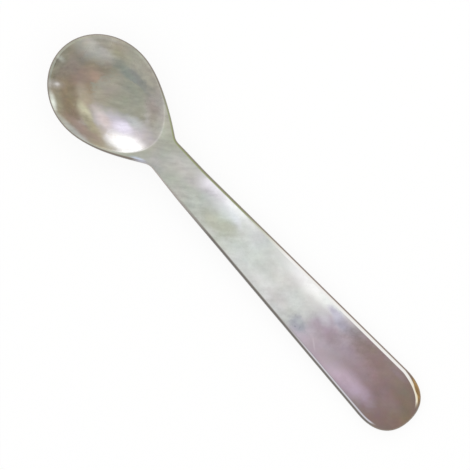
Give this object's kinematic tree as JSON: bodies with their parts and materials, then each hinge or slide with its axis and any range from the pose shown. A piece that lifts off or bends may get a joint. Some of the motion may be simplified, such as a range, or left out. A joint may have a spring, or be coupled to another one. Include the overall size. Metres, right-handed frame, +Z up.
{
  "type": "mother-of-pearl spoon",
  "caption": "Small carved shell spoon with an egg-shaped bowl, a narrow neck and a flat handle that widens to a rounded end, for eggs, caviar or spices.",
  "frame": {"origin": "on the table the spoon lies on, under the middle of its box", "axes": "+X from the bowl's tip to the handle's end, +Z up out of the bowl, +Y across to the side with the golden corner"},
  "size_m": [0.1198, 0.025, 0.007],
  "materials": {
    "nacre": "polished, pearly",
    "golden_shell": "ground and polished"
  },
  "bodies": {
    "root": {"nacre_body": "nacre", "golden_outer_layer": "golden_shell"}
  },
  "joints": []
}
